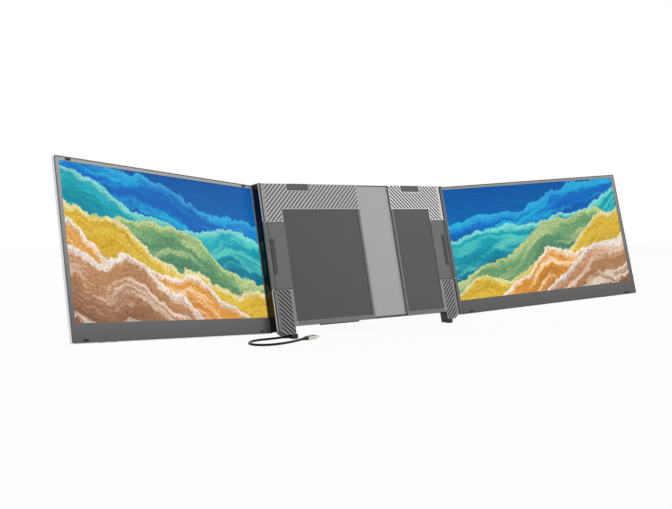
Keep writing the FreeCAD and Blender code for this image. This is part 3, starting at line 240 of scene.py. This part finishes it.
lead_data = bpy.data.curves.new("usb_lead", "CURVE")
lead_data.dimensions = "3D"
lead_data.bevel_depth = 1.0
lead_data.bevel_resolution = 6
lead_data.use_fill_caps = True
lead_line = lead_data.splines.new("NURBS")
lead_line.points.add(len(LEAD_ROUTE) - 1)
for point, (x, y, z) in zip(lead_line.points, LEAD_ROUTE):
    point.co = (leaves_foot.x + x, leaves_foot.y + y, z, 1.0)
    point.radius = LEAD_DIAMETER / 2
lead_line.order_u = 3
lead_line.use_endpoint_u = True
lead_line.resolution_u = 12
lead = bpy.data.objects.new("usb_lead", lead_data)
bpy.context.collection.objects.link(lead)
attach(lead, "frame")
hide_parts("usb_cord")
print("lead starts at", tuple(round(c, 4) for c in leaves_foot))

# %% [markdown]
# ## Plain tones
# Greys are given as they look on a screen, from 0 to 255, because that is how a photograph is
# read. The shaders want them as amounts of light, so one small function converts them.

# %% Tones


def light_of(level):
    """Amount of light of a screen level from 0 to 255."""
    part = level / 255
    return part / 12.92 if part <= 0.04045 else ((part + 0.055) / 1.055) ** 2.4


def rgb(red, green, blue):
    return (light_of(red), light_of(green), light_of(blue), 1.0)


def grey(level):
    return rgb(level, level, level)


print("middle grey lets through", round(grey(128)[0], 3), "of the light")

# %% [markdown]
# ## Masks and mouldings
# A few helpers recur below: a mask that turns on past a threshold, the larger of two values, a
# grey made from a value, a colour times a tint, and the place on a piece stretched so that a
# noise becomes streaks. With them comes the look of moulded plastic, which is cloudy at arm's
# length and finely grained close up.

# %% Masks and mouldings
HINGE_LINE = {side: Vector(JOINTS["screen_" + side + "_swing"]["pos_m"]) for side in ACROSS}
AXIS_DEPTH = BACK.dot(HINGE_LINE["left"])


def step(finish, value, threshold, softness=0.00015):
    """Mask that rises from 0 to 1 as a value passes a threshold."""
    return finish.add("ShaderNodeMapRange", {"interpolation_type": "SMOOTHSTEP"}, value,
                      From_Min=threshold - softness, From_Max=threshold + softness)


def larger(finish, first, second):
    return finish.add("ShaderNodeMath", {"operation": "MAXIMUM"}, first, second)


def size_of(finish, value):
    return finish.add("ShaderNodeMath", {"operation": "ABSOLUTE"}, value)


def as_grey(finish, value):
    return finish.add("ShaderNodeCombineColor", {}, value, value, value)


def tinted(finish, colour, tint):
    return finish.mix(1.0, colour, tint, "MULTIPLY")


def stretched(finish, factors):
    return finish.add("ShaderNodeVectorMath", {"operation": "MULTIPLY"}, finish.place, factors)


def moulded(finish, level, spread=0.06, grain=900.0, strength=0.12):
    """Cloudy tone and a fine spark-eroded grain, as moulded plastic has."""
    cloud = finish.noise(22.0, 3.0)
    fine = finish.noise(grain, 2.0)
    finish.bump(fine, strength, 0.00012)
    return tinted(finish, grey(level), as_grey(finish, 1.0 - spread / 2 + cloud * spread))


print("hinge axes lie at depth", round(AXIS_DEPTH, 4))

# %% [markdown]
# ## Ribbed covers
# Both ends of the frame have slanting ribs moulded into satin grey covers. The ribs are real
# geometry; the finish paints shade into the grooves, darker than the light alone makes them,
# and leaves the crests pale. Depth behind the hinge line tells floor from crest. The plain sunk
# field in the middle of each cover, inside the arms and under the ribs, is a quieter grey. The
# four covers are one plastic; their different crest and groove greys are painted highlight and
# shade, set per cover.

# %% Ribbed covers
COVER_FRONT = 0.0006
GROOVE_FLOOR = 0.0015
CREST_LIMIT = 0.00008
ARM_INNER = 0.1454
FIELD_TOP = 0.1952
FIELD_BORDER_LEVEL = 118
FIELD_LEVEL = 72


def ribbed_cover(name, crest, floor, full_dark=1.0):
    """Light crests and painted-shade grooves; full_dark is the share of the depth where the shade is full."""
    finish = Finish(name, Roughness=0.4)
    depth = finish.along(BACK, AXIS_DEPTH + COVER_FRONT)
    # Painted shade by depth: groove floors turn dark; the same mask gives the sunk field its grey.
    sunk = finish.add("ShaderNodeMapRange", {"interpolation_type": "SMOOTHSTEP"}, depth,
                      From_Min=CREST_LIMIT, From_Max=(GROOVE_FLOOR - COVER_FRONT) * full_dark)
    beside = step(finish, size_of(finish, finish.along(ACROSS["right"])), ARM_INNER)
    above = step(finish, finish.along(UP), FIELD_TOP)
    on_ribs = larger(finish, beside, above)
    raised = finish.mix(on_ribs, grey(FIELD_BORDER_LEVEL), grey(crest))
    hollow = finish.mix(on_ribs, grey(FIELD_LEVEL), grey(floor))
    colour = tinted(finish, finish.mix(sunk, raised, hollow), moulded(finish, 255))
    finish.feed(Base_Color=colour, Roughness=0.34 + finish.noise(60.0) * 0.14)
    return finish.material


# One plastic, set per cover: the crest and groove greys are painted highlight and shade.
RIBBED = {
    "upper_cover_left": ribbed_cover("ribbed_upper_left", 196, 96, 0.7),
    "upper_cover_right": ribbed_cover("ribbed_upper_right", 246, 6, 0.4),
    "lower_cover_left": ribbed_cover("ribbed_lower_left", 140, 18, 0.5),
    "lower_cover_right": ribbed_cover("ribbed_lower_right", 150, 22, 0.5),
}
print("ribbed finishes", len(RIBBED))

# %% [markdown]
# ## Smooth plastics and rubber
# The smooth lengths of the arms are a darker grey, the back of the frame is nearly black, and
# the pads, feet and bumpers are rubber. All are mouldings, so they share the cloud and grain.

# %% Plain mouldings


def plain_moulding(name, level, rough, shine=0.5, **more):
    finish = Finish(name, Roughness=rough, Specular_IOR_Level=shine)
    finish.feed(Base_Color=moulded(finish, level, **more), Roughness=rough - 0.06 + finish.noise(45.0) * 0.12)
    return finish.material


# The arm lengths take the ribbed finish, so their grooves and trim lines get painted shade too.
MIDDLE = ribbed_cover("arm_grey", 104, 40)
SHELL = plain_moulding("shell_black", 44, 0.5, grain=600.0, strength=0.3)
RUBBER = plain_moulding("rubber", 24, 0.66, grain=1400.0, strength=0.25)
PAD = plain_moulding("pad_rubber", 66, 0.62, grain=1400.0, strength=0.2)
CLIP = plain_moulding("clip_grey", 86, 0.45)
BUTTON = plain_moulding("button_black", 36, 0.38)
WHITE = plain_moulding("white_plastic", 228, 0.4)
LEAD = plain_moulding("lead_black", 5, 0.14, shine=0.22, grain=1800.0, strength=0.02)
print("plain mouldings made")

# %% [markdown]
# ## Metal
# The tray, the cases and the kickstand are anodised aluminium, blasted to a fine sparkle, and
# the screws and pins are drawn steel with streaks along their length.

# %% Metals


def blasted(name, level, rough, metallic):
    finish = Finish(name, Metallic=metallic, Roughness=rough)
    speck = finish.noise(1600.0, 1.0)
    finish.feed(Base_Color=moulded(finish, level, spread=0.04, grain=2200.0, strength=0.08),
                Roughness=rough - 0.05 + speck * 0.1)
    return finish.material


def drawn(name, colour, rough, stretch=(40.0, 40.0, 3000.0)):
    finish = Finish(name, Metallic=1.0)
    streak = finish.noise(1.0, 3.0, vector=stretched(finish, stretch))
    darker = tuple(part * 0.75 for part in colour[:3]) + (1.0,)
    finish.feed(Base_Color=finish.mix(streak, colour, darker), Roughness=rough + streak * 0.15)
    finish.bump(streak, 0.05, 0.00005)
    return finish.material


TRAY = blasted("tray_metal", 168, 0.45, 0.3)
LEG = blasted("leg_metal", 120, 0.42, 0.7)
STEEL = drawn("steel", grey(196), 0.24)
PLUG = drawn("plug_metal", rgb(214, 208, 196), 0.22)
CONTACT = drawn("contact_metal", rgb(226, 206, 160), 0.18)
RIM_DEPTH = 0.0004
RIM_BLUR = 0.0003


def case_finish(side, rim_level):
    """Silver case whose front rim round the picture frame is dark."""
    finish = Finish("case_" + side, Metallic=0.6)
    depth = finish.along(behind(side), span("screen_case_" + side, behind(side))[0])
    body = finish.add("ShaderNodeMapRange", {"interpolation_type": "SMOOTHSTEP"}, depth,
                      From_Min=RIM_DEPTH, From_Max=RIM_DEPTH + RIM_BLUR)
    speck = finish.noise(1600.0, 1.0)
    silver = moulded(finish, 226, spread=0.04, grain=2200.0, strength=0.08)
    finish.feed(Base_Color=finish.mix(body, grey(rim_level), silver), Roughness=0.3 + speck * 0.1)
    return finish.material


CASES = {"left": case_finish("left", 84), "right": case_finish("right", 78)}
print("metals made")

# %% [markdown]
# ## Front frames of the screens
# Each picture sits in a dark grey painted frame. Its grey runs from lighter at the top to darker
# on the chin, a painted reflection of the light from above, set per side. The change follows
# the height on the screen, so it stays with the piece from every side.

# %% Front frames


def front_frame(side, top_level, chin_level):
    finish = Finish("front_frame_" + side, Metallic=0.2)
    low, high = span("screen_bezel_" + side, UP)
    height = finish.along(UP, low)
    painted_light_rise = finish.add("ShaderNodeMapRange", {}, height, From_Min=0.0, From_Max=high - low)
    # Painted reflection: lighter towards the top, darker on the chin.
    colour = finish.mix(painted_light_rise, moulded(finish, chin_level, spread=0.03), grey(top_level))
    finish.feed(Base_Color=colour, Roughness=0.36 + finish.noise(50.0) * 0.1)
    return finish.material


FRONT_FRAMES = {"left": front_frame("left", 162, 84), "right": front_frame("right", 150, 90)}
print("front frames made")

# %% [markdown]
# ## Hinge brackets
# The wall between screen and arm is gloss black and mirrors the picture beside it, while the
# knuckles and the front edge have the pale grey of the covers. Depth behind the hinge axis
# parts the two. Painted shade darkens the slot beside the bright edge, the side turned to the
# arm, and the two gaps where the bracket's knuckles meet the arm's, more than light alone
# would. The two brackets' different greys are painted light and shade, set per side.

# %% Hinge brackets


BRIGHT_EDGE = 0.0021
SHADOW_LINE = 0.0011
SHADED_SIDE = 0.0022
KNUCKLE_GAPS = (0.0736, 0.1754)
HALF_GAP = 0.0009


def bracket_finish(side, edge_level, knuckle_level, wall_depth):
    finish = Finish("hinge_wall_" + side)
    origin = HINGE_LINE[side]
    reach = finish.along(outward(side), outward(side).dot(origin))
    depth = finish.along(behind(side), behind(side).dot(origin))
    wall = step(finish, depth, wall_depth)
    edge = step(finish, reach, BRIGHT_EDGE)
    # Painted shade: a dark line along the slot, and the side turned to the arm.
    shade = step(finish, reach, BRIGHT_EDGE - SHADOW_LINE) - edge
    arm_side_shade = step(finish, reach, -SHADED_SIDE)
    front = finish.mix(edge, grey(knuckle_level), grey(edge_level))
    front = finish.mix(shade, front, grey(12))
    front = finish.mix(arm_side_shade, grey(10), front)
    colour = finish.mix(wall, tinted(finish, front, moulded(finish, 255)), grey(9))
    rough = 0.36 - wall * 0.31
    level = finish.along(UP)
    # Painted shade: the knuckle gaps are made nearly black and rough.
    for place in KNUCKLE_GAPS:
        gap_shade = 1.0 - step(finish, size_of(finish, level - place), HALF_GAP)
        colour = finish.mix(gap_shade, colour, grey(3))
        rough = rough + gap_shade * 0.5
    finish.feed(Base_Color=colour, Roughness=rough)
    return finish.material


# Per-side greys of one plastic, as painted light and shade.
BRACKETS = {
    "left": bracket_finish("left", 214, 132, 0.0004),
    "right": bracket_finish("right", 176, 112, 0.0040),
}
print("bracket finishes made")

# %% [markdown]
# ## Circuit boards
# The boards are hidden inside. They get green lacquer with a web of darker tracks, so that
# they read as boards when the covers are lifted off.

# %% Boards


def board_finish():
    finish = Finish("board_green")
    cells = finish.add("ShaderNodeTexVoronoi", {"feature": "DISTANCE_TO_EDGE", "distance": "MANHATTAN"},
                       Vector=finish.place, Scale=260.0)
    track = cells < 0.06
    lacquer = finish.mix(track, rgb(24, 92, 58), rgb(12, 58, 36))
    finish.feed(Base_Color=lacquer, Roughness=0.35 + track * 0.2)
    return finish.material


BOARD = board_finish()
print("board finish made")

# %% [markdown]
# ## The picture on the screens
# The screens show a plain desktop picture of rolling waves, from deep blue through green and
# gold to brown, with pale rims. Each wave is a height that swings along the screen; every point
# asks how far it lies under that edge, and takes the wave's rim or body colour from the answer.

# %% Desktop picture
SKY = (rgb(10, 128, 200), rgb(6, 84, 160))
STAGGER = 7.3
CALM_WAVES = 2
EDGE_BLUR = 0.004


def edge_height(finish, across, wave, scale, seed):
    """Height of a wave's edge at a place across the screen."""
    edge = wave["level"] + (across - 0.5) * wave["slope"]
    for size, turns, start in wave["swings"]:
        angle = across * (turns * math.tau) + start
        edge = edge + finish.add("ShaderNodeMath", {"operation": "SINE"}, angle) * size
    line = finish.add("ShaderNodeCombineXYZ", {}, across, seed, 0.0)
    wobble = finish.add("ShaderNodeTexNoise", {"noise_dimensions": "2D"},
                        Vector=line, Scale=scale, Detail=4.0)
    return edge + (wobble - 0.5) * wave["wobble"]


WAVES = [
    {"level": 0.88, "slope": -0.26, "swings": [(0.06, 0.8, 0.4), (0.020, 2.3, 1.0)], "wobble": 0.10,
     "stops": [(0.0, (60, 160, 214)), (0.06, (16, 112, 196)), (0.45, (6, 66, 156))],
     "accent": (30, 170, 206)},
    {"level": 0.72, "slope": -0.40, "swings": [(0.07, 0.9, 2.2), (0.022, 2.6, 0.2)], "wobble": 0.14,
     "stops": [(0.0, (150, 226, 214)), (0.05, (22, 168, 184)), (0.45, (4, 92, 132))],
     "accent": (92, 196, 178)},
    {"level": 0.56, "slope": -0.50, "swings": [(0.08, 1.1, 4.4), (0.024, 3.1, 2.0)], "wobble": 0.16,
     "stops": [(0.0, (214, 226, 150)), (0.05, (120, 172, 118)), (0.45, (16, 112, 110))],
     "accent": (190, 204, 140)},
    {"level": 0.42, "slope": -0.62, "swings": [(0.07, 1.0, 0.9), (0.030, 2.9, 3.0)], "wobble": 0.18,
     "stops": [(0.0, (255, 244, 190)), (0.05, (236, 196, 66)), (0.45, (206, 136, 20))],
     "accent": (186, 190, 92)},
    {"level": 0.30, "slope": -0.72, "swings": [(0.09, 1.2, 3.3), (0.030, 3.4, 1.2)], "wobble": 0.20,
     "stops": [(0.0, (255, 254, 250)), (0.055, (236, 166, 74)), (0.45, (190, 104, 40))],
     "accent": (252, 226, 184)},
    {"level": 0.15, "slope": -0.80, "swings": [(0.08, 1.3, 5.2), (0.034, 3.8, 0.4)], "wobble": 0.22,
     "stops": [(0.0, (255, 252, 248)), (0.06, (206, 152, 108)), (0.45, (140, 96, 70))],
     "accent": (238, 222, 204)},
]


def wave_body(finish, wave, across, under, seed):
    """Colour of one wave: rim and depth from its ramp, with strata of its accent along the edge."""
    stops = [(place, rgb(*tone)[:3]) for place, tone in wave["stops"]]
    body = finish.add("ShaderNodeValToRGB", {"stops": stops}, larger(finish, under, 0.0))
    layered = finish.add("ShaderNodeCombineXYZ", {}, across * 2.6, under * 11.0, seed)
    strata = finish.noise(1.0, 5.0, vector=layered, Roughness=0.62, Distortion=0.9)
    streak = finish.add("ShaderNodeMapRange", {"interpolation_type": "SMOOTHSTEP"}, strata,
                        From_Min=0.47, From_Max=0.66, To_Max=0.85)
    shade = finish.add("ShaderNodeMapRange", {}, strata, From_Min=0.25, From_Max=0.55,
                       To_Min=0.62, To_Max=1.08)
    return tinted(finish, finish.mix(streak, body, rgb(*wave["accent"])), as_grey(finish, shade))


def picture(finish, across, height, seed):
    """Sky first, then one wave in front of another, each with its own grain."""
    grain = finish.noise(300.0, 4.0, Roughness=0.7)
    blot = finish.noise(36.0, 5.0, Roughness=0.6)
    ripple = finish.noise(1.0, 3.0, vector=stretched(finish, (70.0, 70.0, 420.0)), Distortion=0.6)
    speck = finish.add("ShaderNodeTexVoronoi", {}, Vector=finish.place, Scale=460.0)
    rough_height = height + (blot - 0.5) * 0.15 + (grain - 0.5) * 0.04
    calm = 0.56 + ripple * 0.56 + grain * 0.36
    lively = 1.14 - speck * 0.46 + (grain - 0.5) * 1.1
    colour = tinted(finish, finish.mix(height, *SKY), as_grey(finish, calm))
    for index, wave in enumerate(WAVES):
        start = seed + index * STAGGER
        edge = edge_height(finish, across, wave, 2.6 + index * 0.5, start)
        under = edge - rough_height
        surface = as_grey(finish, calm if index < CALM_WAVES else lively)
        body = tinted(finish, wave_body(finish, wave, across, under, start), surface)
        covered = finish.add("ShaderNodeMapRange", {}, under, From_Min=-EDGE_BLUR, From_Max=EDGE_BLUR)
        colour = finish.mix(covered, colour, body)
    return colour


def panel_finish(side, seed):
    """Dark glass that shines with the picture, laid out along the screen and mirrored per side."""
    finish = Finish("lit_panel_" + side, Base_Color=(0.004, 0.004, 0.005, 1.0), Roughness=0.3,
                    Emission_Strength=1.0, Specular_IOR_Level=0.06)
    start, end = span("display_panel_" + side, outward(side))
    low, high = span("display_panel_" + side, UP)
    across = finish.along(outward(side), start) * (1.0 / (end - start))
    height = finish.along(UP, low) * (1.0 / (high - low))
    across = 1.0 - across if side == "left" else 1.12 - across
    finish.feed(Emission_Color=picture(finish, across, height, seed))
    return finish.material


PANELS = {"left": panel_finish("left", 3.1), "right": panel_finish("right", 61.7)}
print("pictures made")

# %% [markdown]
# ## Giving every piece its finish
# A table of names and finishes dresses all the carried-over pieces. A name that stands for both
# sides is matched by its beginning.

# %% Dress the pieces
FINISHES = {
    "back_shell": SHELL, "middle_cover": MIDDLE, "arm_pad": PAD, "top_clip": CLIP,
    "hinge_pins": STEEL, "friction_sleeves": STEEL, "clip_spring": STEEL,
    "frame_screws": STEEL, "screen_screws": STEEL, "backlight": WHITE,
    "driver_board": BOARD, "button_board": BOARD, "main_board": BOARD, "port_board": BOARD,
    "screen_bumpers": RUBBER, "power_button": BUTTON, "menu_button": BUTTON, "centre_tray": TRAY,
    "slide_rails": STEEL, "slide_glides": WHITE, "usb_ports": CONTACT, "kickstand_leg": LEG,
    "kickstand_foot": RUBBER, "kickstand_pin": STEEL, "foot": RUBBER, "cord_relief": LEAD,
    "plug_collar": LEAD, "plug_shell": PLUG, "plug_tip": CONTACT, "usb_cord": LEAD,
}
for side in ("left", "right"):
    FINISHES["screen_bezel_" + side] = FRONT_FRAMES[side]
    FINISHES["screen_case_" + side] = CASES[side]
    FINISHES["hinge_bracket_" + side] = BRACKETS[side]
    FINISHES["display_panel_" + side] = PANELS[side]
FINISHES.update(RIBBED)


def finish_of(name):
    """The finish with the longest name that begins the piece's name."""
    return FINISHES[max((key for key in FINISHES if name.startswith(key)), key=len)]


def wear(thing, material):
    thing.data.materials.clear()
    thing.data.materials.append(material)


for name, node in NODES.items():
    wear(node, finish_of(name))
wear(lead, LEAD)
print("dressed", len(NODES), "nodes")

# %% [markdown]
# ## The studio
# A pale floor and a few large soft lamps give even light. What the camera, mirrors and clear
# things see behind the part is plain white, and only the floor keeps a faint shadow.

# %% Floor
FLOOR_SIZE = 6.0
FLOOR_GLOW = 0.95
SEEN_RAYS = ("Is Camera Ray", "Is Glossy Ray", "Is Transmission Ray")
half = FLOOR_SIZE / 2
corners = [(-half, -half, 0), (half, -half, 0), (half, half, 0), (-half, half, 0)]
floor_mesh = bpy.data.meshes.new("floor")
floor_mesh.from_pydata(corners, [], [(0, 1, 2, 3)])
floor = bpy.data.objects.new("floor", floor_mesh)
floor.location.z = -0.0002
bpy.context.collection.objects.link(floor)


def seen_directly(finish):
    """1 for the camera's rays and for those that mirrors and clear things send on, otherwise 0."""
    path = finish.nodes.new("ShaderNodeLightPath")
    camera_ray, glossy, passing = (Wire(finish, path.outputs[name]) for name in SEEN_RAYS)
    return larger(finish, larger(finish, camera_ray, glossy), passing)


floor_finish = Finish("floor", Base_Color=grey(236), Roughness=0.9)
glow = floor_finish.add("ShaderNodeEmission", {}, (1.0, 1.0, 1.0, 1.0), 1.0)
base = Wire(floor_finish, floor_finish.shader.outputs[0])
shown = seen_directly(floor_finish) * FLOOR_GLOW
blended = floor_finish.add("ShaderNodeMixShader", {}, shown, base, glow)
floor_finish.links.new(blended.socket, floor_finish.nodes["Material Output"].inputs["Surface"])
wear(floor, floor_finish.material)
print("floor", FLOOR_SIZE, "m")

# %% [markdown]
# ## World and lamps
# Half-strength white light comes from all round, so greys render about as they are written.
# A soft key from the front left, a weaker fill and a rim from behind model the edges.

# %% World and lamps
world = bpy.data.worlds.new("studio")
world.use_nodes = True
bpy.context.scene.world = world
WORLD_LIGHT = 0.5


class Surround(Finish):
    """The world's nodes, with the same way of adding them."""

    def __init__(self, tree):
        self.nodes = tree.nodes
        self.links = tree.links


surround = Surround(world.node_tree)
backdrop = seen_directly(surround)
strength = WORLD_LIGHT + backdrop * (1.0 - WORLD_LIGHT)
surround.links.new(strength.socket, surround.nodes["Background"].inputs["Strength"])
surround.nodes["Background"].inputs["Color"].default_value = (1.0, 1.0, 1.0, 1.0)


def lamp(name, place, target, size, power):
    data = bpy.data.lights.new(name, "AREA")
    data.size = size
    data.energy = power
    thing = bpy.data.objects.new(name, data)
    thing.location = place
    thing.rotation_euler = (Vector(target) - Vector(place)).to_track_quat("-Z", "Y").to_euler()
    bpy.context.collection.objects.link(thing)


lamp("key", (-1.2, -1.6, 1.9), (0.0, 0.0, 0.12), 1.4, 16.0)
lamp("fill", (1.8, -1.2, 1.2), (0.0, 0.0, 0.12), 1.6, 7.0)
lamp("rim", (0.0, 1.8, 1.6), (0.0, 0.0, 0.15), 1.4, 10.0)
bpy.context.scene.view_settings.view_transform = "Standard"
print("lamps", len(bpy.data.lights))
